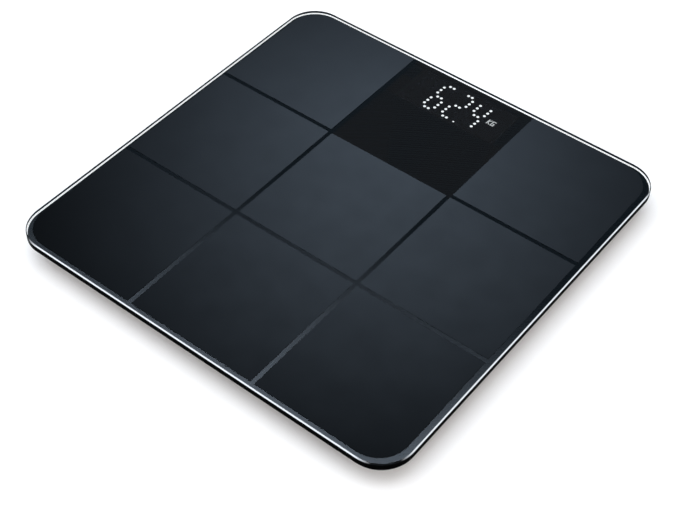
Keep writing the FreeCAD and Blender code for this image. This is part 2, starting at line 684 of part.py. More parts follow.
def make_battery_contacts():
    """Nickel-plated end plates that join the cells in a row, and the conical springs."""
    inner = dim("bay_length") / 2
    thick = dim("contact_thick")
    pitch = dim("cell_pitch")
    margin = dim("contact_margin")
    half = dim("contact_half")
    plates = []
    for side, first, last in ((1, -1, 0), (1, 1, 1), (-1, -1, -1), (-1, 0, 1)):
        low = Vector(min(side * inner, side * (inner - thick)), dim("bay_y") + first * pitch - margin,
                     dim("cell_height") - half)
        plates.append(Part.makeBox(thick, (last - first) * pitch + 2 * margin, 2 * half, low))
    solid_feature("battery_plates", Part.makeCompound(plates))
    length = dim("bay_length") - 2 * thick - dim("cell_length")
    springs = []
    for line, side in ((-1, -1), (0, 1), (1, -1)):
        plate = Vector(side * (inner - thick), dim("bay_y") + line * pitch, dim("cell_height"))
        springs.append(conical_spring(plate, -side, length))
    solid_feature("battery_springs", Part.makeCompound(springs))


def conical_spring(plate, direction, length):
    """A conical coil of short straight runs from a contact plate to a cell's flat end."""
    wide = dim("spring_wide")
    narrow = dim("spring_narrow")
    seat = dim("spring_seat")
    runs = round(dim("spring_turns") * RUNS_PER_TURN)
    points = []
    for step in range(runs + 1):
        share = step / runs
        angle = 2 * math.pi * dim("spring_turns") * share
        radius = wide + (narrow - wide) * share
        along = direction * (seat + (length - 2 * seat) * share)
        points.append(plate + Vector(along, radius * math.cos(angle), radius * math.sin(angle)))
    return tube(Part.makePolygon(points), dim("spring_wire"), "battery spring", RIGHT_CORNER)


def make_battery_door():
    """Door with a full-round front edge on two pins, valley ribs and a snap rib at the back."""
    body = new_body("battery_door")
    bind_place(body, ("0", HINGE_Y, HINGE_Z))
    half = "dims.door_thick/2"
    back = f"(dims.door_width - {half})"
    panel = block(body, "door_panel", True, ("dims.door_length", back, "dims.door_thick"),
                  ("-dims.door_length/2", "0", f"-{half}"))
    low = at_height(-evaluate(half))
    round_edges(body, "door_outer_edges", panel, lambda edge: low(edge) and edge.BoundBox.YMax > 1,
                "dims.door_round")
    rod(body, "door_round_edge", True, half, "dims.door_length", ("-dims.door_length/2", "0", "0"), ALONG_X)
    rod(body, "door_pins", True, "dims.pin_radius", "dims.door_length + 2*dims.pin_length",
        ("-dims.door_length/2 - dims.pin_length", "0", "0"), ALONG_X)
    middle = f"(dims.bay_y - {HINGE_Y})"
    length = "(dims.door_length - 2*dims.rib_margin)"
    for side in (-1, 1):
        block(body, f"valley_rib_{side + 1}", True, (length, "dims.rib_width", "dims.rib_rise"),
              (f"-{length}/2", f"{middle} + {side}*dims.cell_pitch/2 - dims.rib_width/2", half))
    block(body, "snap_rib", True, ("dims.snap_length", "dims.rib_width", "dims.snap_rise"),
          ("-dims.snap_length/2", f"{middle} + dims.bay_width/2 - dims.snap_play - dims.rib_width", half))
    groove = ("dims.grip_length", "dims.grip_width", "dims.grip_depth")
    for number in range(4):
        block(body, f"grip_groove_{number}", False, groove,
              ("-dims.grip_length/2", f"{back} - dims.grip_start - {number}*dims.grip_pitch", f"-{half}"))


# --- Circuit board ----------------------------------------------------------------------------

BOARD_TOP = "(dims.board_bottom + dims.board_thick)"


def make_board():
    depth = "(dims.board_back - dims.board_front)"
    blank = box_on("board_blank", ("dims.board_width", depth, "dims.board_thick"),
                   ("0", f"dims.board_front + {depth}/2"), "dims.board_bottom")
    holes = []
    for side in (-1, 1):
        for place in ("front", "back"):
            base = (f"{side}*dims.boss_x", f"dims.boss_{place}", "dims.board_bottom")
            holes.append(cylinder(f"board_hole_{place}_{side + 1}", "dims.screw_radius + dims.screw_play",
                                  "dims.board_thick", base))
    keep(cut("main_board", blank, fuse("board_holes", holes)), "main_board")


def make_board_parts():
    """Chips under the board, small parts and wire terminals on it, and the unit switch."""
    under = "dims.board_bottom - dims.chip_rise"
    keep(box_on("microcontroller", ("dims.controller_side", "dims.controller_side", "dims.chip_rise"),
                ("dims.controller_x", "dims.controller_y"), under), "microcontroller")
    keep(box_on("weighing_amplifier", ("dims.amplifier_length", "dims.amplifier_width", "dims.chip_rise"),
                ("dims.amplifier_x", "dims.amplifier_y"), under), "weighing_amplifier")
    small = [box_on(f"small_part_{number}", ("dims.small_length", "dims.small_width", "dims.small_rise"),
                    (f"dims.small_first + {number}*dims.small_pitch", "dims.board_front + dims.small_inset"),
                    BOARD_TOP) for number in range(9)]
    keep(group("small_parts", small), "small_parts")
    reach = "(3*dims.wire_pitch + 2*dims.socket_margin)"
    half = "dims.socket_depth/2"
    sockets = []
    for side in (-1, 1):
        sockets.append(box_on(f"front_socket_{side + 1}", (reach, "dims.socket_depth", "dims.socket_rise"),
                              (f"{side}*dims.lead_x", f"dims.board_front + {half}"), BOARD_TOP))
        sockets.append(box_on(f"side_socket_{side + 1}", ("dims.socket_depth", reach, "dims.socket_rise"),
                              (f"{side}*(dims.board_width/2 - {half})", "dims.foot_offset"), BOARD_TOP))
    keep(group("wire_terminals", sockets), "wire_terminals")
    middle = ("dims.button_x", "dims.button_y")
    case = box_on("switch_case", ("dims.switch_side", "dims.switch_side", "dims.switch_rise"), middle,
                  "dims.board_bottom - dims.switch_rise")
    plunger = cylinder("switch_plunger", "dims.plunger_radius", "dims.plunger_rise",
                       (*middle, "dims.board_bottom - dims.switch_rise - dims.plunger_rise"))
    keep(fuse("unit_switch", [case, plunger]), "unit_switch")


def make_screws():
    """Pan-head self-tapping screws with a cross recess."""
    top = evaluate(BOARD_TOP)
    rise = dim("head_rise")
    length = dim("screw_length")
    cross = (dim("cross_length"), dim("cross_width"))
    screws = []
    for side in (-1, 1):
        for place in ("front", "back"):
            centre = Vector(side * dim("boss_x"), dim("boss_" + place), top)
            shank = Part.makeCylinder(dim("screw_radius"), length, centre - Vector(0, 0, length))
            head = Part.makeCylinder(dim("head_radius"), rise, centre)
            rim = [edge for edge in head.Edges if at_height(top + rise)(edge)]
            head = head.makeFillet(dim("head_round"), rim)
            screw = shank.fuse(head)
            for wide, deep in (cross, reversed(cross)):
                corner = centre + Vector(-wide / 2, -deep / 2, rise - dim("cross_width"))
                screw = screw.cut(Part.makeBox(wide, deep, dim("cross_width"), corner))
            screws.append(screw.removeSplitter())
    solid_feature("board_screws", Part.makeCompound(screws))


def make_unit_button():
    """Unit button in the tray's floor, kept in by its flange."""
    body = new_body("unit_button")
    flange = f"({TRAY_FLOOR} + dims.button_lift)"
    flange_top = f"({flange} + dims.button_flange_thick)"
    switch = "(dims.board_bottom - dims.switch_rise - dims.plunger_rise)"
    nub_top = f"({switch} - dims.button_travel - dims.button_slack)"
    revolve(body, "button_turned", [
        ("0", "dims.button_bottom"),
        ("dims.button_radius - dims.button_edge", "dims.button_bottom"),
        ("dims.button_radius", "dims.button_bottom + dims.button_edge"),
        ("dims.button_radius", flange),
        ("dims.button_radius + dims.button_flange", flange),
        ("dims.button_radius + dims.button_flange", flange_top),
        ("dims.button_nub", flange_top),
        ("dims.button_nub", nub_top),
        ("0", nub_top),
    ])
    bind_place(body, ("dims.button_x", "dims.button_y", "0"))


# --- Display ----------------------------------------------------------------------------------

# Rows of a seven-segment digit: a top, b and c right, d bottom, e and f left, g middle.
SEGMENTS = {
    "a": ("level", 1), "g": ("level", 0), "d": ("level", -1),
    "b": ("upright", 1, 1), "c": ("upright", 1, -1),
    "e": ("upright", -1, -1), "f": ("upright", -1, 1),
}
LIT_SEGMENTS = ["", "acdefg", "abdeg", "bcfg"]
POINT_AFTER = 2

# The unit's two letters: side of the mark's middle, and strokes between corners of the letter.
LETTERS = [
    (-1, [((-1, -1), (-1, 1)), ((-1, 0), (1, 1)), ((-1, 0), (1, -1))]),
    (1, [((1, 1), (-1, 1)), ((-1, 1), (-1, -1)), ((-1, -1), (1, -1)), ((1, -1), (1, -0.1)),
         ((1, -0.1), (0.2, -0.1))]),
]


def lean(x, y):
    """Lean a point of a digit to the right with its height."""
    return Vector(x + dim("digit_slant") * y, y, 0)


def segment_dots(segment):
    """Dot centres of one segment, from the digit's middle."""
    row = SEGMENTS[segment]
    if row[0] == "level":
        half = dim("dot_step_x") / 2
        return [lean(side * half, row[1] * dim("digit_rise")) for side in (-1, 1)]
    return [lean(row[1] * dim("digit_reach"), row[2] * step * dim("dot_step_y")) for step in (1, 2, 3)]


def display_dots():
    """All dots as (centre, radius, lit)."""
    dots = []
    for place, lit in enumerate(LIT_SEGMENTS):
        middle = Vector(dim("digit_first") + place * dim("digit_pitch"), dim("display_y"), 0)
        for segment in SEGMENTS:
            for offset in segment_dots(segment):
                dots.append((middle + offset, dim("dot_radius"), segment in lit))
        if place == POINT_AFTER:
            offset = lean(dim("digit_pitch") / 2, -dim("digit_rise") - dim("point_drop"))
            dots.append((middle + offset, dim("point_radius"), True))
    return dots


def stroke(start, end, width, low, high):
    """A straight bar between two points, flat in plan."""
    run = end - start
    turn = math.degrees(math.atan2(run.y, run.x))
    bar = Part.makeBox(run.Length + width, width, high - low, Vector(-width / 2, -width / 2, 0))
    bar.Placement = Placement(Vector(start.x, start.y, low), Rotation(Vector(0, 0, 1), turn))
    return bar


def unit_mark(grow, low, high):
    """The letters of the unit, kg in capitals, as leaning strokes."""
    middle = Vector(dim("unit_x"), dim("unit_y"), 0)
    width = dim("stroke_width") + 2 * grow
    marks = []
    for side, strokes in LETTERS:
        bars = []
        for start, end in strokes:
            points = [middle + lean(side * dim("unit_shift") + dim("letter_reach") * x,
                                    dim("letter_rise") * y) for x, y in (start, end)]
            bars.append(stroke(*points, width, low, high))
        marks.append(bars[0].multiFuse(bars[1:]).removeSplitter())
    return marks


def make_display():
    """Light box with a well for each dot, the lenses that close the wells and the light sources."""
    top = evaluate(ENAMEL_BOTTOM) - dim("light_box_gap")
    bottom = evaluate(BOARD_TOP)
    width = dim("light_box_width")
    depth = dim("light_box_depth")
    low = Vector(dim("display_x") - width / 2, dim("display_y") - depth / 2, bottom)
    blank = Part.makeBox(width, depth, top - bottom, low)
    dots = display_dots()
    clear = dim("lens_clear")
    wells = [Part.makeCylinder(size + clear, top - bottom, Vector(spot.x, spot.y, bottom))
             for spot, size, lit in dots]
    wells += unit_mark(clear, bottom, top)
    solid_feature("light_box", blank.cut(Part.makeCompound(wells)))
    lens_low = top - dim("lens_depth")
    for label, wanted in (("lit_lenses", True), ("dark_lenses", False)):
        lenses = [Part.makeCylinder(size, dim("lens_depth"), Vector(spot.x, spot.y, lens_low))
                  for spot, size, lit in dots if lit == wanted]
        solid_feature(label, Part.makeCompound(lenses))
    solid_feature("unit_mark_lenses", Part.makeCompound(unit_mark(0, lens_low, top)))
    source = Vector(dim("source_length"), dim("source_width"), dim("source_rise"))
    to_corner = Vector(-source.x / 2, -source.y / 2, bottom)
    sources = [Part.makeBox(*source, spot + to_corner) for spot, size, lit in dots if size > source.x]
    solid_feature("led_chips", Part.makeCompound(sources))


# --- Feet -------------------------------------------------------------------------------------

# Each foot's place, as signs of the offset along X and Y, and the way its lead leaves, in degrees.
FEET = {
    "front_left": (-1, -1, 90),
    "front_right": (1, -1, 90),
    "back_left": (-1, 1, 0),
    "back_right": (1, 1, 180),
}


def foot_place(name, height="0"):
    along_x, along_y, _ = FEET[name]
    return (f"{along_x}*dims.foot_offset", f"{along_y}*dims.foot_offset", height)


CELL_TOP = "(dims.plate_cell_bottom + dims.plate_cell_thick)"


def make_foot_housing(name):
    """Round shell under the glass that carries the load cell and keeps the foot cap in."""
    body = new_body("foot_housing_" + name)
    roof = f"({TAPE_BOTTOM} - dims.foot_wall)"
    shell = revolve(body, "housing_turned", [
        ("0", roof),
        ("0", TAPE_BOTTOM),
        ("dims.foot_radius", TAPE_BOTTOM),
        ("dims.foot_radius - dims.foot_taper", "dims.foot_bottom"),
        ("dims.lip_radius", "dims.foot_bottom"),
        ("dims.lip_radius", "dims.foot_bottom + dims.lip_height"),
        ("dims.foot_radius - dims.foot_taper - dims.foot_wall", "dims.foot_bottom + dims.lip_height"),
        ("dims.foot_radius - dims.foot_wall", roof),
    ])
    round_edges(body, "housing_low_edges", shell, at_height(dim("foot_bottom")), "dims.foot_round")
    frame = new_sketch(body, "cell_frame", "XY_Plane", ("0", "0", "dims.plate_cell_bottom"))
    inside = "dims.plate_cell_side + 2*dims.frame_play"
    outside = f"{inside} + 2*dims.frame_wall"
    add_rectangle(frame, outside, outside, "outer")
    add_rectangle(frame, inside, inside, "inner")
    pad(body, "cell_frame_pad", frame, f"{roof} - dims.plate_cell_bottom")
    for across in (-1, 1):
        for along in (-1, 1):
            rod(body, f"post_{across + 1}_{along + 1}", True, "dims.post_radius", f"{roof} - {CELL_TOP}",
                (f"{across}*dims.post_offset", f"{along}*dims.post_offset", CELL_TOP))
    inner = "(dims.plate_cell_side/2)"
    block(body, "lead_slot", False,
          (f"dims.foot_radius + 1 - {inner}", BUNDLE, "2*dims.wire_radius + dims.notch_play"),
          (inner, f"-{BUNDLE}/2", f"{CELL_TOP} + dims.wire_lift/2"))
    body.Placement = Placement(Vector(), Rotation(Vector(0, 0, 1), FEET[name][2]))
    bind_place(body, foot_place(name))


def make_load_cell(name):
    """Stamped steel square with a slot round three sides of its tongue."""
    x, y, low = foot_place(name, "dims.plate_cell_bottom")
    side = "dims.plate_cell_side"
    blank = box_on("cell_blank_" + name, (side, side, "dims.plate_cell_thick"), (x, y), low)
    rounded = soften("cell_rounded_" + name, blank, "dims.plate_cell_corner")
    beside = "(dims.tongue_half + dims.slot_width/2)"
    slots = [box_on(f"cell_slot_{way + 1}_{name}",
                    ("dims.slot_width", "2*dims.slot_end - dims.tongue_root", "dims.plate_cell_thick"),
                    (f"{x} + {way}*{beside}", f"{y} - dims.tongue_root/2"), low) for way in (-1, 1)]
    slots.append(box_on("cell_end_slot_" + name, (f"2*{beside}", "dims.slot_width", "dims.plate_cell_thick"),
                        (x, f"{y} - dims.slot_end + dims.slot_width/2"), low))
    keep(cut("load_cell_" + name, rounded, fuse("cell_slots_" + name, slots)), "load_cell_" + name)


def make_foot_cap(name):
    """Moulded cap with a flange, a thrust pin for the load cell and a seat for the rubber."""
    body = new_body("foot_cap_" + name)
    flange_top = "dims.flange_bottom + dims.flange_thick"
    floor = "dims.rubber_top + dims.cap_floor"
    pin_top = "dims.plate_cell_bottom - dims.foot_travel - dims.travel_clear"
    revolve(body, "cap_turned", [
        ("0", "dims.rubber_top"),
        ("dims.rubber_radius", "dims.rubber_top"),
        ("dims.rubber_radius", "dims.cap_bottom"),
        ("dims.cap_radius - dims.cap_edge", "dims.cap_bottom"),
        ("dims.cap_radius", "dims.cap_bottom + dims.cap_edge"),
        ("dims.cap_radius", "dims.flange_bottom"),
        ("dims.flange_radius", "dims.flange_bottom"),
        ("dims.flange_radius", flange_top),
        ("dims.cap_radius - dims.cap_wall", flange_top),
        ("dims.cap_radius - dims.cap_wall", floor),
        ("dims.thrust_radius", floor),
        ("dims.thrust_radius", pin_top),
        ("0", pin_top),
    ])
    bind_place(body, foot_place(name))


def make_rubber_foot(name):
    """Rubber disc with a softened edge and two ring grooves in its sole."""
    body = new_body("rubber_foot_" + name)
    outline = [("0", "0")]
    for number in range(2):
        inner = f"dims.groove_first + {number}*dims.groove_pitch"
        outer = f"{inner} + dims.groove_width"
        outline += [(inner, "0"), (inner, "dims.groove_depth"), (outer, "dims.groove_depth"), (outer, "0")]
    outline += [
        ("dims.rubber_radius - dims.rubber_edge", "0"),
        ("dims.rubber_radius - dims.rubber_bevel", "dims.rubber_bevel"),
        ("dims.rubber_radius", "dims.rubber_edge"),
        ("dims.rubber_radius", "dims.rubber_top"),
        ("0", "dims.rubber_top"),
    ]
    revolve(body, "rubber_turned", outline)
    bind_place(body, foot_place(name))


def make_foot_details():
    """Foam discs that bond the housings, and the strain gauges on the load cells' tongues."""
    discs = []
    gauges = []
    for name in FEET:
        x, y, low = foot_place(name, TAPE_BOTTOM)
        discs.append(cylinder("foam_" + name, "dims.foot_radius - dims.foam_inset", "dims.tape_thick",
                              (x, y, low)))
        gauges.append(box_on("gauge_" + name, ("dims.gauge_length", "dims.gauge_width", "dims.gauge_rise"),
                             (x, f"{y} + dims.gauge_y"), CELL_TOP))
    keep(group("foot_tapes", discs), "foot_tapes")
    keep(group("strain_gauges", gauges), "strain_gauges")


# --- Leads ------------------------------------------------------------------------------------

COLOURS = {"red": -1, "white": 0, "black": 1}


def smooth_path(points, radii):
    """Straight runs joined by tangent arcs, one radius for each inner point."""
    edges = []
    start = points[0]
    for before, corner, after, radius in zip(points, points[1:], points[2:], radii):
        back = (before - corner).normalize()
        ahead = (after - corner).normalize()
        turn = math.pi - back.getAngle(ahead)
        setback = radius * math.tan(turn / 2)
        middle = corner + (back + ahead).normalize() * (radius / math.cos(turn / 2) - radius)
        entry = corner + back * setback
        leave = corner + ahead * setback
        edges.append(Part.LineSegment(start, entry).toShape())
        edges.append(Part.Arc(entry, middle, leave).toShape())
        start = leave
    edges.append(Part.LineSegment(start, points[-1]).toShape())
    return Part.Wire(edges)


def tube(path, radius, label, corners=0):
    """A round tube along a path; its volume must be its section times its length."""
    first = path.Edges[0]
    begin = first.FirstParameter
    ring = Part.Circle(first.valueAt(begin), first.tangentAt(begin), radius)
    shape = path.makePipeShell([Part.Wire(ring.toShape())], True, False, corners)
    expected = math.pi * radius * radius * path.Length
    if abs(shape.Volume - expected) > 0.01 * expected:
        raise ValueError(f"{label}: volume {shape.Volume}, expected {expected}")
    return shape


def front_route(side, offset):
    """Route of one wire from a front foot to the tray, and its bend radii."""
    x = side * (dim("foot_offset") - offset)
    lane = side * (dim("lead_x") - offset)
    foot = -dim("foot_offset")
    tray = dim("tray_front")
    low = evaluate(CELL_TOP) + dim("wire_radius") + dim("wire_lift")
    high = dim("wire_height")
    pin = evaluate(BOARD_TOP) + dim("socket_rise") / 2
    shift = offset * math.tan(math.radians(31))
    bend = 18.0
    points = [
        Vector(x, foot + 17, low),
        Vector(x, foot + 30, low),
        Vector(x, foot + 46, high),
        Vector(x, -22 - shift, high),
        Vector(lane, 22 - shift, high),
        Vector(lane, tray + 8, high),
        Vector(lane, tray + 28, pin),
        Vector(lane, dim("board_front"), pin),
    ]
    return points, [bend, bend, bend - offset, bend + offset, bend, bend]


def back_route(side, offset):
    """Route of one wire from a back foot to the tray, and its bend radii."""
    foot = dim("foot_offset")
    wall = dim("tray_width") / 2
    low = evaluate(CELL_TOP) + dim("wire_radius") + dim("wire_lift")
    high = dim("wire_height")
    pin = evaluate(BOARD_TOP) + dim("socket_rise") / 2
    places = [
        (foot - 17, low),
        (foot - 29, low),
        (foot - 41, high),
        (wall - 2.5, high),
        (wall - 11, pin),
        (dim("board_width") / 2, pin),
    ]
    return [Vector(side * x, foot + offset, height) for x, height in places], [12.0, 12.0, 5.0, 5.0]


def make_leads():
    """Three wires from each load cell to its terminal, one node for each colour."""
    for colour, order in COLOURS.items():
        wires = []
        for side in (-1, 1):
            for route in (front_route, back_route):
                points, radii = route(side, order * dim("wire_pitch"))
                wires.append(tube(smooth_path(points, radii), dim("wire_radius"), "wire_" + colour))
                print(f"wire_{colour}: radii {radii}")
        solid_feature("wires_" + colour, Part.makeCompound(wires))


def make_battery_leads():
    """Two short leads from the outer contact plates to the board."""
    leads = []
    bend = 1.3
    level = evaluate(BATTERY_LEAD_Z)
    y = evaluate(BATTERY_LEAD_Y)
    for side in (-1, 1):
        start = side * dim("bay_length") / 2
        lane = start + side * (dim("bay_wall") + 1.8)
        end = dim("board_front") + 2
        points = [Vector(start, y, level), Vector(lane, y, level), Vector(lane, end, level)]
        leads.append(tube(smooth_path(points, [bend]), dim("battery_wire"), "battery_lead"))
        print(f"battery lead: radius {bend}")
    solid_feature("battery_leads", Part.makeCompound(leads))


def make_wire_clip(tag, middle, along_x):
    """A bridge bonded to the enamel that holds a lead against it."""
    top = "dims.under_glass - dims.print_thick"
    channel = "(dims.wire_height - dims.wire_radius - dims.wire_lift/2)"
    low = f"({channel} - dims.clip_wall)"
    length = "dims.clip_length"
    outside = f"({BUNDLE} + 2*dims.clip_foot)"
    plans = ((length, outside), (length, BUNDLE)) if along_x else ((outside, length), (BUNDLE, length))
    bridge = box_on("clip_block_" + tag, (*plans[0], f"{top} - {low}"), middle, low)
    rounded = soften("clip_rounded_" + tag, bridge, "dims.clip_round", at_height(evaluate(low)))
    hole = box_on("clip_channel_" + tag, (*plans[1], f"{top} - {channel}"), middle, channel)
    return cut("clip_" + tag, rounded, hole)


def make_wire_clips():
    """Two clips on each front lead's outer lane, one on its inner lane and one on each back lead."""
    clips = []
    for side in (-1, 1):
        for number, (x, y, along_x) in enumerate((
            ("dims.foot_offset", "-58.5", False),
            ("dims.foot_offset", "-40.5", False),
            ("dims.lead_x", "39.5", False),
            ("70.5", "dims.foot_offset", True),
        )):
            clips.append(make_wire_clip(f"{side + 1}_{number}", (f"{side}*{x}", y), along_x))
    keep(group("wire_clips", clips), "wire_clips")


def write_parts():
    """Check every object, then write one STEP file for each sub-part."""
    doc.recompute()
    for item in doc.Objects:
        if {"Invalid", "Error"} & set(item.State):
            raise ValueError(f"{item.Label}: {item.State}")
    for item in nodes:
        if item.Shape.isNull() or not item.Shape.isValid() or not item.Shape.Solids:
            raise ValueError(f"{item.Label} has no valid solid")
    os.makedirs("parts", exist_ok=True)
    for item in nodes:
        item.Shape.exportStep(f"parts/{item.Label}.step")
        box_size = item.Shape.BoundBox
        print(f"{item.Label}: {len(item.Shape.Solids)} solids, {item.Shape.Volume:.1f} mm3, "
              f"z {box_size.ZMin:.2f} to {box_size.ZMax:.2f}")


make_glass()
make_enamel()
make_tread_tiles()
make_tray()
make_tray_tape()
make_batteries()
make_battery_contacts()
make_battery_door()
make_board()
make_board_parts()
make_screws()
make_unit_button()
make_display()
for foot in FEET:
    make_foot_housing(foot)
    make_load_cell(foot)
    make_foot_cap(foot)
    make_rubber_foot(foot)
make_foot_details()
make_leads()
make_battery_leads()
make_wire_clips()
write_parts()
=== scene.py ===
"""Looks of the digital bathroom scale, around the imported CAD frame. Metres throughout."""

import json
import math

import bmesh
import bpy
from mathutils import Matrix, Vector


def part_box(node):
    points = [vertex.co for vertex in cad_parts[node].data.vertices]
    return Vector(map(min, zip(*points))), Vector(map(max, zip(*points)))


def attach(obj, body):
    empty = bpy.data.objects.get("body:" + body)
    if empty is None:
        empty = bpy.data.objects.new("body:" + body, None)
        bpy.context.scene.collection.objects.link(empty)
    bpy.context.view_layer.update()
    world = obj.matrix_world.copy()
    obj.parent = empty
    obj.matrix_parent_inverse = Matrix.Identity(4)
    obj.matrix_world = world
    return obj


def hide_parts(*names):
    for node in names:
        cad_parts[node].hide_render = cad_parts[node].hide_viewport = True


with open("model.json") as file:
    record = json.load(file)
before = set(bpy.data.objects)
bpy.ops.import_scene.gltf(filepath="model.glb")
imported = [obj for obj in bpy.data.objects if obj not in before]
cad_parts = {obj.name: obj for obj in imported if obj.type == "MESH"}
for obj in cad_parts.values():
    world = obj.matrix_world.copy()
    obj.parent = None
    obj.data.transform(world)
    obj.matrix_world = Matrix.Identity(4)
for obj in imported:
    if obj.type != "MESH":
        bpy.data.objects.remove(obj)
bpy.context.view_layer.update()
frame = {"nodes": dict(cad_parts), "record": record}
nodes = frame["nodes"]

MM = 0.001
PLATFORM = "platform"

# Places read from the frame.
glass_low, glass_high = (Vector(corner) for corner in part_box("glass_platform"))
window_low, window_high = (Vector(corner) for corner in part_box("display_window"))

# The glass plate's own shape, which the frame's boxes do not say.
CORNER_RADIUS = 23 * MM
CORNER_STEPS = 24
TOP_ARRIS = 0.7 * MM
LOW_ARRIS = 0.85 * MM

# Where the top arris turns from its pale ground colour to the dark painted shade of its corners,
# from each corner's tangent point.
CORNER_SHADE_START = -1 * MM
CORNER_SHADE_END = 9 * MM

# The display panel is the middle one of the back row's three fields.
PANEL_HALF_WIDTH = 49 * MM
PANEL_FRONT = 49 * MM
# A faint warm painted glow on the display panel's enamel and on the smoke film; neither is a lamp.
PANEL_GLOW = (1.0, 0.50, 0.10)
PANEL_GLOW_STRENGTH = 0.0046

# Black enamel and smoke film seen through the glass, at their darkest and palest.
ENAMEL_DARK = (0.0018, 0.0020, 0.0026)
ENAMEL_PALE = (0.0026, 0.0028, 0.0034)

# Half the width over which two printed colours blend.
PRINT_BLEND = 0.1 * MM

# Colour and emission strengths of the display's lit lenses.
LENS_LIT = (0.9, 0.93, 0.95)
DOT_GLOW = 15.0
UNIT_MARK_GLOW = 8.0


# --- Material helpers -------------------------------------------------------------------------


class Paint:
    """A material under construction: one Principled shader and the textures that feed it."""

    def __init__(self, name, colour, rough, metal=0.0, **sockets):
        self.material = bpy.data.materials.new(name)
        self.material.use_nodes = True
        self.tree = self.material.node_tree
        self.shader = next(node for node in self.tree.nodes if node.type == "BSDF_PRINCIPLED")
        self.shader.inputs["Base Color"].default_value = (*colour, 1.0)
        self.shader.inputs["Roughness"].default_value = rough
        self.shader.inputs["Metallic"].default_value = metal
        for socket, value in sockets.items():
            self.shader.inputs[socket.replace("_", " ")].default_value = value
        self.colour = colour
        self.normal = None

    def node(self, kind, **settings):
        made = self.tree.nodes.new("ShaderNode" + kind)
        for name, value in settings.items():
            setattr(made, name, value)
        return made

    def link(self, source, target):
        self.tree.links.new(source, target)

    def place(self):
        """Object coordinates, which are the frame's own metres."""
        return self.node("TexCoord").outputs["Object"]

    def noise(self, scale, detail=3.0):
        texture = self.node("TexNoise")
        texture.inputs["Scale"].default_value = scale
        texture.inputs["Detail"].default_value = detail
        texture.inputs["Roughness"].default_value = 0.5
        self.link(self.place(), texture.inputs["Vector"])
        return texture.outputs["Fac"]

    def range(self, source, low, high, source_low=0.3, source_high=0.7):
        """Stretch a value to a range. A noise value's useful part is 0.3 to 0.7."""
        mapped = self.node("MapRange")
        mapped.inputs["From Min"].default_value = source_low
        mapped.inputs["From Max"].default_value = source_high
        mapped.inputs["To Min"].default_value = low
        mapped.inputs["To Max"].default_value = high
        self.link(source, mapped.inputs["Value"])
        return mapped.outputs["Result"]

    def bump(self, height, strength, distance):
        """Add a bump on top of those already there."""
        bump = self.node("Bump")
        bump.inputs["Strength"].default_value = strength
        bump.inputs["Distance"].default_value = distance
        self.link(height, bump.inputs["Height"])
        if self.normal is not None:
            self.link(self.normal, bump.inputs["Normal"])
        self.normal = bump.outputs["Normal"]
        self.link(self.normal, self.shader.inputs["Normal"])
        return self

    def soft_edges(self, radius):
        """Catch light on edges as moulded and stamped parts do."""
        bevel = self.node("Bevel", samples=4)
        bevel.inputs["Radius"].default_value = radius
        if self.normal is not None:
            self.link(self.normal, bevel.inputs["Normal"])
        self.normal = bevel.outputs["Normal"]
        self.link(self.normal, self.shader.inputs["Normal"])
        return self

    def vary_rough(self, low, high, scale):
        """Uneven gloss between two roughnesses."""
        uneven = self.range(self.noise(scale), low, high)
        self.link(uneven, self.shader.inputs["Roughness"])
        return self

    def vary_colour(self, other, scale, detail=3.0):
        """Uneven colour between the material's own and another."""
        uneven = self.range(self.noise(scale, detail), 0.0, 1.0)
        self.link(self.mix(uneven, self.colour, other), self.shader.inputs["Base Color"])
        return self

    def cells(self, scale):
        """Distances from the middles of small cells, for pimples and foam."""
        cells = self.node("TexVoronoi")
        cells.inputs["Scale"].default_value = scale
        self.link(self.place(), cells.inputs["Vector"])
        return cells.outputs["Distance"]

    def size_of(self, axis_value):
        """A coordinate without its sign."""
        size = self.node("Math", operation="ABSOLUTE")
        self.link(axis_value, size.inputs[0])
        return size.outputs[0]

    def smallest(self, first, second):
        least = self.node("Math", operation="MINIMUM")
        self.link(first, least.inputs[0])
        self.link(second, least.inputs[1])
        return least.outputs[0]

    def axes(self):
        """The frame's own coordinates, by axis name."""
        split = self.node("SeparateXYZ")
        self.link(self.place(), split.inputs[0])
        return split.outputs

    def mix(self, factor, first, second):
        """Mix two colours by a factor socket."""
        mix = self.node("Mix", data_type="RGBA")
        self.link(factor, mix.inputs[0])
        for socket, colour in ((mix.inputs[6], first), (mix.inputs[7], second)):
            if isinstance(colour, tuple):
                socket.default_value = (*colour, 1.0)
            else:
                self.link(colour, socket)
        return mix.outputs[2]


def moulded(name, colour, rough):
    """Spark-eroded moulded plastic: fine grain, slightly uneven gloss."""
    paint = Paint(name, colour, rough)
    paint.vary_rough(rough - 0.07, rough + 0.07, 90.0)
    paint.vary_colour(tuple(value * 1.35 + 0.002 for value in colour), 35.0)
    paint.bump(paint.noise(4200.0, 2.0), 0.35, 0.04 * MM)
    return paint.soft_edges(0.25 * MM).material


def metal(name, colour, rough):
    """Plated or rolled metal with a fine grain."""
    paint = Paint(name, colour, rough, 1.0)
    paint.vary_rough(rough - 0.06, rough + 0.10, 900.0)
    paint.vary_colour(tuple(value * 0.82 for value in colour), 160.0)
    paint.bump(paint.noise(1800.0, 2.0), 0.15, 0.02 * MM)
    return paint.soft_edges(0.12 * MM).material


# --- Materials --------------------------------------------------------------------------------


def tread_material():
    """Satin anti-slip coating: very fine pimples and slow changes of sheen."""
    paint = Paint("tread_satin", (0.0005, 0.0006, 0.0007), 0.59)
    paint.shader.inputs["Specular IOR Level"].default_value = 0.02
    paint.vary_rough(0.575, 0.605, 55.0)
    paint.vary_colour((0.0008, 0.0009, 0.0010), 12.0)
    paint.bump(paint.cells(2600.0), 0.12, 0.03 * MM)
    return paint.material


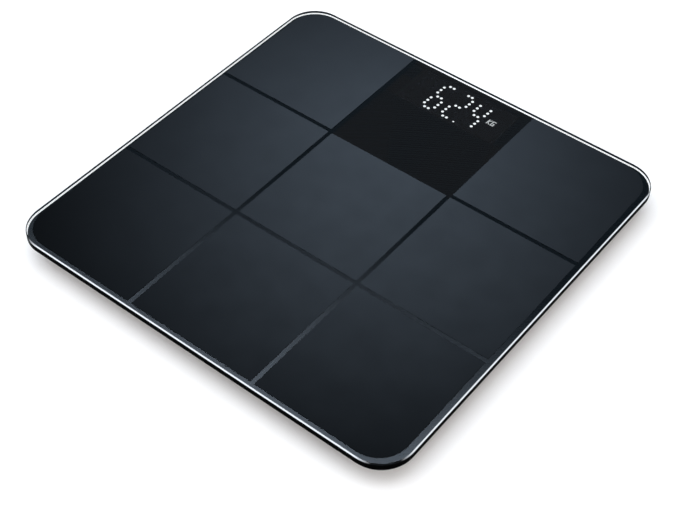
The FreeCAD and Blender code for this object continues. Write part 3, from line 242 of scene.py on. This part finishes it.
def glass_material():
    """Clear glass with the slight unevenness of a rolled plate."""
    paint = Paint("glass", (0.93, 0.975, 0.965), 0.0, 0.0, IOR=1.52)
    paint.shader.inputs["Transmission Weight"].default_value = 1.0
    paint.bump(paint.noise(14.0, 1.0), 0.02, 0.02 * MM)
    return paint.material


def side_material():
    """Side of the plate: the enamel behind it makes it look black."""
    paint = Paint("glass_side", (0.0004, 0.0005, 0.0005), 0.22)
    paint.shader.inputs["Specular IOR Level"].default_value = 0.001
    paint.vary_rough(0.16, 0.30, 300.0)
    paint.vary_colour((0.0008, 0.0010, 0.0010), 120.0)
    return paint.material


def arris_material():
    """Top arris: finely ground; pale along the sides, a colour that also stands in for the
    highlight there, and painted dark round the corners, painted shade where that highlight is
    missing.
    """
    paint = Paint("ground_arris_painted_light", (0.74, 0.76, 0.77), 0.45)
    paint.shader.inputs["Specular IOR Level"].default_value = 0.05
    axes = paint.axes()
    corner = paint.smallest(paint.size_of(axes["X"]), paint.size_of(axes["Y"]))
    tangent = glass_high.x - CORNER_RADIUS
    corner_shade = paint.range(corner, 0.0, 1.0, tangent + CORNER_SHADE_START, tangent + CORNER_SHADE_END)
    grain = paint.range(paint.noise(900.0), 0.0, 1.0)
    ground = paint.mix(grain, (0.60, 0.585, 0.57), (0.67, 0.655, 0.64))
    # Painted shade: near-black round the corners; the pale ground colour along the sides also
    # serves as a painted highlight.
    colour = paint.mix(corner_shade, ground, (0.002, 0.0025, 0.003))
    paint.link(colour, paint.shader.inputs["Base Color"])
    paint.vary_rough(0.36, 0.54, 700.0)
    paint.bump(paint.noise(2500.0, 2.0), 0.3, 0.04 * MM)
    return paint.material


def ground_material():
    """Low arris: fine-ground, and given a painted glow that stands in for light reaching it."""
    paint = Paint("ground_edge_painted_glow", (0.94, 0.96, 0.96), 0.45)
    # Painted glow: this emission makes the low arris shine though it is no lamp.
    paint.shader.inputs["Emission Color"].default_value = (1.0, 0.98, 0.98, 1.0)
    paint.shader.inputs["Emission Strength"].default_value = 0.88
    paint.vary_rough(0.36, 0.54, 700.0)
    paint.bump(paint.noise(2500.0, 2.0), 0.4, 0.05 * MM)
    return paint.material


def enamel_face_material():
    """Enamel seen through the glass it is baked on, so it has no gloss of its own."""
    paint = Paint("enamel_behind_glass", ENAMEL_DARK, 1.0)
    paint.shader.inputs["Specular IOR Level"].default_value = 0.0
    paint.vary_colour(ENAMEL_PALE, 40.0)
    axes = paint.axes()
    between = paint.range(paint.size_of(axes["X"]), 1.0, 0.0,
                          PANEL_HALF_WIDTH - PRINT_BLEND, PANEL_HALF_WIDTH + PRINT_BLEND)
    behind = paint.range(axes["Y"], 0.0, 1.0,
                         PANEL_FRONT - PRINT_BLEND, PANEL_FRONT + PRINT_BLEND)
    # Painted glow on the display panel's part of the enamel.
    glow = paint.mix(paint.smallest(between, behind), (0.0, 0.0, 0.0), PANEL_GLOW)
    paint.link(glow, paint.shader.inputs["Emission Color"])
    paint.shader.inputs["Emission Strength"].default_value = PANEL_GLOW_STRENGTH
    return paint.material


def window_face_material():
    """Smoke film bonded to the glass: dark, but lit dots show through it."""
    paint = Paint("window_smoke", ENAMEL_DARK, 1.0, 0.0, Alpha=0.93)
    paint.shader.inputs["Specular IOR Level"].default_value = 0.0
    # Painted glow: the same faint warm emission as the panel's enamel.
    paint.shader.inputs["Emission Color"].default_value = (*PANEL_GLOW, 1.0)
    paint.shader.inputs["Emission Strength"].default_value = PANEL_GLOW_STRENGTH
    paint.vary_colour(ENAMEL_PALE, 40.0)
    return paint.material


def enamel_back_material():
    """The enamel's underside, which is duller than its face."""
    paint = Paint("enamel_back", (0.020, 0.021, 0.023), 0.5)
    paint.vary_rough(0.42, 0.58, 30.0)
    paint.vary_colour((0.028, 0.029, 0.031), 9.0)
    paint.bump(paint.noise(900.0, 3.0), 0.25, 0.02 * MM)
    return paint.material


def lens_material(name, colour, glow):
    """Moulded diffuser over one light source, lit or unlit."""
    paint = Paint(name, colour, 0.25)
    paint.shader.inputs["Emission Color"].default_value = (0.93, 0.97, 1.0, 1.0)
    paint.shader.inputs["Emission Strength"].default_value = glow
    paint.vary_rough(0.2, 0.3, 800.0)
    return paint.material


def rubber_material():
    """Matt rubber, slightly dusty."""
    paint = Paint("rubber", (0.022, 0.022, 0.023), 0.72)
    paint.vary_rough(0.62, 0.82, 120.0)
    paint.vary_colour((0.050, 0.049, 0.047), 60.0, 6.0)
    paint.bump(paint.noise(1800.0, 4.0), 0.3, 0.05 * MM)
    return paint.soft_edges(0.3 * MM).material


def foam_material():
    """White closed-cell foam tape."""
    paint = Paint("foam_tape", (0.74, 0.74, 0.71), 0.9)
    paint.vary_colour((0.55, 0.55, 0.52), 500.0)
    paint.bump(paint.cells(3500.0), 0.8, 0.08 * MM)
    return paint.material


def board_material():
    """Solder mask with copper tracks showing faintly through it."""
    paint = Paint("board_green", (0.012, 0.10, 0.035), 0.28)
    brick = paint.node("TexBrick")
    brick.inputs["Scale"].default_value = 160.0
    brick.inputs["Mortar Size"].default_value = 0.06
    brick.inputs["Color1"].default_value = (0.010, 0.085, 0.030, 1)
    brick.inputs["Color2"].default_value = (0.014, 0.105, 0.038, 1)
    brick.inputs["Mortar"].default_value = (0.035, 0.20, 0.07, 1)
    paint.link(paint.place(), brick.inputs["Vector"])
    paint.link(brick.outputs["Color"], paint.shader.inputs["Base Color"])
    paint.vary_rough(0.22, 0.36, 120.0)
    paint.bump(brick.outputs["Fac"], 0.3, 0.03 * MM)
    return paint.material


def cell_material():
    """Battery sleeve in two plain colours."""
    paint = Paint("cell_can", (0.03, 0.035, 0.04), 0.32, 0.35)
    low, high = (Vector(corner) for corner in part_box("battery_1"))
    centre = (low.x + high.x) / 2
    band = paint.range(paint.axes()["X"], 0.0, 1.0, centre - PRINT_BLEND, centre + PRINT_BLEND)
    colour = paint.mix(band, (0.42, 0.19, 0.07), (0.02, 0.022, 0.025))
    paint.link(colour, paint.shader.inputs["Base Color"])
    paint.vary_rough(0.25, 0.38, 200.0)
    paint.bump(paint.noise(900.0), 0.08, 0.02 * MM)
    return paint.soft_edges(0.2 * MM).material


def plain(name, colour, rough, scale=180.0):
    """Small glossy or matt moulded pieces."""
    paint = Paint(name, colour, rough)
    paint.vary_rough(max(rough - 0.08, 0.02), rough + 0.08, scale)
    paint.vary_colour(tuple(value * 0.8 for value in colour), scale * 2)
    paint.bump(paint.noise(scale * 10, 2.0), 0.15, 0.02 * MM)
    return paint.soft_edges(0.15 * MM).material


def make_materials():
    """One material for each slot of the record, and those of the glass plate's own faces."""
    return {
        "glass": glass_material(),
        "enamel_black": enamel_back_material(),
        "tread_satin": tread_material(),
        "window_film": window_face_material(),
        "housing_plastic": moulded("housing_plastic", (0.018, 0.018, 0.020), 0.48),
        "foot_plastic": moulded("foot_plastic", (0.030, 0.030, 0.032), 0.42),
        "button_grey": moulded("button_grey", (0.22, 0.23, 0.24), 0.42),
        "foam_tape": foam_material(),
        "cell_can": cell_material(),
        "contact_nickel": metal("contact_nickel", (0.66, 0.62, 0.55), 0.24),
        "board_green": board_material(),
        "chip_black": plain("chip_black", (0.012, 0.012, 0.013), 0.55),
        "ceramic": plain("ceramic", (0.40, 0.29, 0.17), 0.5),
        "nylon_white": plain("nylon_white", (0.80, 0.79, 0.72), 0.45),
        "switch_metal": metal("switch_metal", (0.58, 0.58, 0.58), 0.32),
        "screw_steel": metal("screw_steel", (0.56, 0.56, 0.58), 0.28),
        "light_box_black": plain("light_box_black", (0.006, 0.006, 0.006), 0.8),
        "lens_lit": lens_material("lens_lit", LENS_LIT, DOT_GLOW),
        "lens_dark": lens_material("lens_dark", (0.006, 0.006, 0.006), 0.0),
        "led_chip": plain("led_chip", (0.85, 0.78, 0.30), 0.35),
        "cell_steel": metal("cell_steel", (0.55, 0.55, 0.54), 0.34),
        "gauge_white": plain("gauge_white", (0.82, 0.82, 0.80), 0.5),
        "rubber": rubber_material(),
        "wire_red": plain("wire_red", (0.45, 0.012, 0.012), 0.35),
        "wire_white": plain("wire_white", (0.80, 0.80, 0.78), 0.35),
        "wire_black": plain("wire_black", (0.015, 0.015, 0.016), 0.35),
        "clip_plastic": plain("clip_plastic", (0.62, 0.63, 0.62), 0.4),
        "glass_side": side_material(),
        "ground_arris_painted_light": arris_material(),
        "ground_edge_painted_glow": ground_material(),
        "enamel_behind_glass": enamel_face_material(),
    }


def paint_nodes(materials):
    """Give every CAD node the material of its slot, and the unit mark its own dimmer one."""
    for part in frame["record"]["subparts"]:
        mesh = nodes[part["node"]].data
        chosen = materials[part["material_slot"]]
        if mesh.materials:
            for index in range(len(mesh.materials)):
                mesh.materials[index] = chosen
        else:
            mesh.materials.append(chosen)
    unit_mark = lens_material("unit_mark_lit", LENS_LIT, UNIT_MARK_GLOW)
    nodes["unit_mark_lenses"].data.materials[0] = unit_mark


# --- Glass plate ------------------------------------------------------------------------------


def rounded_ring(inset, height):
    """Corner points of the plate's outline, moved inwards, at a height."""
    half = glass_high.x - inset
    radius = CORNER_RADIUS - inset
    points = []
    for quarter, (along_x, along_y) in enumerate(((1, 1), (-1, 1), (-1, -1), (1, -1))):
        centre = Vector((along_x * (half - radius), along_y * (half - radius), height))
        for step in range(CORNER_STEPS + 1):
            angle = math.radians(90 * quarter + 90 * step / CORNER_STEPS)
            points.append(centre + Vector((radius * math.cos(angle), radius * math.sin(angle), 0)))
    return points


def make_glass(materials):
    """The plate as one closed mesh: clear faces, ground arrises, enamel and window underneath."""
    mesh = bmesh.new()
    levels = [
        (TOP_ARRIS, glass_high.z),
        (0.0, glass_high.z - TOP_ARRIS),
        (0.0, glass_low.z + LOW_ARRIS),
        (LOW_ARRIS, glass_low.z),
    ]
    rings = [[mesh.verts.new(point) for point in rounded_ring(*level)] for level in levels]
    faces = ("glass", "ground_arris_painted_light", "glass_side", "ground_edge_painted_glow", "enamel_behind_glass",
             "window_film")
    clear, arris, side, ground, enamel, window = range(len(faces))
    for (upper, lower), kind in zip(zip(rings, rings[1:]), (arris, side, ground)):
        count = len(upper)
        for index in range(count):
            following = (index + 1) % count
            face = mesh.faces.new((upper[index], lower[index], lower[following], upper[following]))
            face.material_index = kind
            face.smooth = True
    top = mesh.faces.new(rings[0])
    top.material_index = clear
    window_ring = [mesh.verts.new((x, y, glass_low.z)) for x, y in (
        (window_high.x, window_high.y), (window_low.x, window_high.y),
        (window_low.x, window_low.y), (window_high.x, window_low.y))]
    pane = mesh.faces.new(tuple(reversed(window_ring)))
    pane.material_index = window
    outer = rings[-1]
    quarter = len(outer) // 4
    for index in range(4):
        start = index * quarter + quarter // 2
        run = [outer[(start + step) % len(outer)] for step in range(quarter + 1)]
        face = mesh.faces.new((window_ring[index], window_ring[(index + 1) % 4], *reversed(run)))
        face.material_index = enamel
    bmesh.ops.recalc_face_normals(mesh, faces=mesh.faces)
    bmesh.ops.triangulate(mesh, faces=[face for face in mesh.faces if len(face.verts) > 4])
    data = bpy.data.meshes.new("glass_plate")
    mesh.to_mesh(data)
    mesh.free()
    for name in faces:
        data.materials.append(materials[name])
    data.set_sharp_from_angle(angle=math.radians(20))
    plate = bpy.data.objects.new("glass_plate", data)
    bpy.context.scene.collection.objects.link(plate)
    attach(plate, PLATFORM)
    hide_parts("glass_platform", "display_window")


# --- Studio -----------------------------------------------------------------------------------

CAMERA_AT = Vector((0.39486, -0.50743, 0.64863 + glass_high.z))
CAMERA_AIM = Vector((0.02629, -0.03669, glass_high.z))
CAMERA_ROLL = math.radians(0.510)
CAMERA_LENS = 74.96

# The light that gives the tread tiles their sheen, from the middle of the glass's top.
TREAD_LIGHT_AT = Vector((-0.299, 0.457, 1.0))
TREAD_LIGHT_AIM = Vector((-0.024, 0.082, 0))
TREAD_LIGHT_SIDE = 0.11
TREAD_LIGHT_POWER = 3.1
TREAD_LIGHT_COLOUR = (0.80, 1.0, 1.25)
TREAD_LIGHT_SPREAD = math.radians(25.5)

FLOOR_HALF_SIDE = 30.0
FLOOR_COLOUR = (0.97, 0.885, 0.80)

# Directions and colours of the world: a pale tent, a cool light above and a dim blue fill.
TOWARDS_VIEWER = (0.6183, -0.7860, 0)
UPWARDS = (0, 0, 1)
OVERHEAD = (-0.233, 0, 0.9725)
TENT_COLOUR = (0.98, 1.0, 1.05, 1.0)
OVERHEAD_COLOUR = (0.84, 1.0, 1.21, 1.0)
FILL_COLOUR = (0.66, 1.0, 1.36, 1.0)
FILL_STRENGTH = 0.16
BACKDROP_COLOUR = (1.0, 1.0, 1.0, 1.0)


def aim(item, target, roll=0.0):
    """Turn a camera or light so that it looks at a point."""
    item.rotation_mode = "QUATERNION"
    turn = (target - item.location).to_track_quat("-Z", "Y")
    item.rotation_quaternion = turn @ Matrix.Rotation(roll, 3, "Z").to_quaternion()


def make_camera():
    data = bpy.data.cameras.new("camera")
    data.lens = CAMERA_LENS
    data.sensor_width = 36.0
    data.clip_start = 0.01
    camera = bpy.data.objects.new("camera", data)
    camera.location = CAMERA_AT
    aim(camera, CAMERA_AIM, CAMERA_ROLL)
    bpy.context.scene.collection.objects.link(camera)
    bpy.context.scene.camera = camera


def make_floor():
    mesh = bmesh.new()
    mesh.faces.new([mesh.verts.new((x * FLOOR_HALF_SIDE, y * FLOOR_HALF_SIDE, 0))
                    for x, y in ((-1, -1), (1, -1), (1, 1), (-1, 1))])
    data = bpy.data.meshes.new("floor")
    mesh.to_mesh(data)
    mesh.free()
    paint = Paint("floor_white", FLOOR_COLOUR, 0.8)
    paint.shader.inputs["Specular IOR Level"].default_value = 0.1
    data.materials.append(paint.material)
    floor = bpy.data.objects.new("floor", data)
    bpy.context.scene.collection.objects.link(floor)


def make_world():
    """A pale tent, open above and towards the viewer, and dark where the glass mirrors it.

    The camera sees a plain white backdrop instead.
    """
    world = bpy.data.worlds.new("studio")
    world.use_nodes = True
    tree = world.node_tree
    direction = tree.nodes.new("ShaderNodeTexCoord").outputs["Generated"]

    def ramp(axis, start, end, most, power=1.0):
        """Brightness that grows from none to most as the cosine to an axis goes start to end."""
        dot = tree.nodes.new("ShaderNodeVectorMath")
        dot.operation = "DOT_PRODUCT"
        dot.inputs[1].default_value = Vector(axis).normalized()
        tree.links.new(direction, dot.inputs[0])
        mapped = tree.nodes.new("ShaderNodeMapRange")
        mapped.inputs["From Min"].default_value = start
        mapped.inputs["From Max"].default_value = end
        tree.links.new(dot.outputs["Value"], mapped.inputs["Value"])
        shaped = tree.nodes.new("ShaderNodeMath")
        shaped.operation = "POWER"
        shaped.inputs[1].default_value = power
        tree.links.new(mapped.outputs["Result"], shaped.inputs[0])
        scaled = tree.nodes.new("ShaderNodeMath")
        scaled.operation = "MULTIPLY"
        scaled.inputs[1].default_value = most
        tree.links.new(shaped.outputs[0], scaled.inputs[0])
        return scaled.outputs[0]

    def brightest(first, second):
        most = tree.nodes.new("ShaderNodeMath")
        most.operation = "MAXIMUM"
        tree.links.new(first, most.inputs[0])
        tree.links.new(second, most.inputs[1])
        return most.outputs[0]

    near_side = ramp(TOWARDS_VIEWER, -0.45, 0.05, 1.20)
    horizon = ramp(UPWARDS, 0.35, 0.12, 0.62)
    above = ramp(OVERHEAD, 0.781, 0.869, 1.79, 2.0)
    tent = tree.nodes["Background"]
    tent.inputs["Color"].default_value = TENT_COLOUR
    tree.links.new(brightest(near_side, horizon), tent.inputs["Strength"])
    overhead = tree.nodes.new("ShaderNodeBackground")
    overhead.inputs["Color"].default_value = OVERHEAD_COLOUR
    tree.links.new(above, overhead.inputs["Strength"])
    fill = tree.nodes.new("ShaderNodeBackground")
    fill.inputs["Color"].default_value = FILL_COLOUR
    fill.inputs["Strength"].default_value = FILL_STRENGTH
    total = tent
    for background in (overhead, fill):
        both = tree.nodes.new("ShaderNodeAddShader")
        tree.links.new(total.outputs[0], both.inputs[0])
        tree.links.new(background.outputs[0], both.inputs[1])
        total = both
    backdrop = tree.nodes.new("ShaderNodeBackground")
    backdrop.inputs["Color"].default_value = BACKDROP_COLOUR
    seen = tree.nodes.new("ShaderNodeLightPath").outputs["Is Camera Ray"]
    chosen = tree.nodes.new("ShaderNodeMixShader")
    tree.links.new(seen, chosen.inputs["Fac"])
    tree.links.new(total.outputs[0], chosen.inputs[1])
    tree.links.new(backdrop.outputs[0], chosen.inputs[2])
    output = next(node for node in tree.nodes if node.type == "OUTPUT_WORLD")
    tree.links.new(chosen.outputs[0], output.inputs["Surface"])
    bpy.context.scene.world = world


def make_tread_light():
    """A soft panel that lights nothing but the tread tiles."""
    middle = Vector((0, 0, glass_high.z))
    data = bpy.data.lights.new("tread_light", "AREA")
    data.shape = "RECTANGLE"
    data.size = data.size_y = TREAD_LIGHT_SIDE
    data.energy = TREAD_LIGHT_POWER
    data.color = TREAD_LIGHT_COLOUR
    data.spread = TREAD_LIGHT_SPREAD
    light = bpy.data.objects.new("tread_light", data)
    light.location = middle + TREAD_LIGHT_AT
    aim(light, middle + TREAD_LIGHT_AIM)
    bpy.context.scene.collection.objects.link(light)
    treads = bpy.data.collections.new("treads")
    treads.objects.link(nodes["tread_tiles"])
    light.light_linking.receiver_collection = treads


materials = make_materials()
paint_nodes(materials)
make_glass(materials)
make_camera()
make_floor()
make_world()
make_tread_light()
bpy.context.scene.view_settings.view_transform = "Standard"
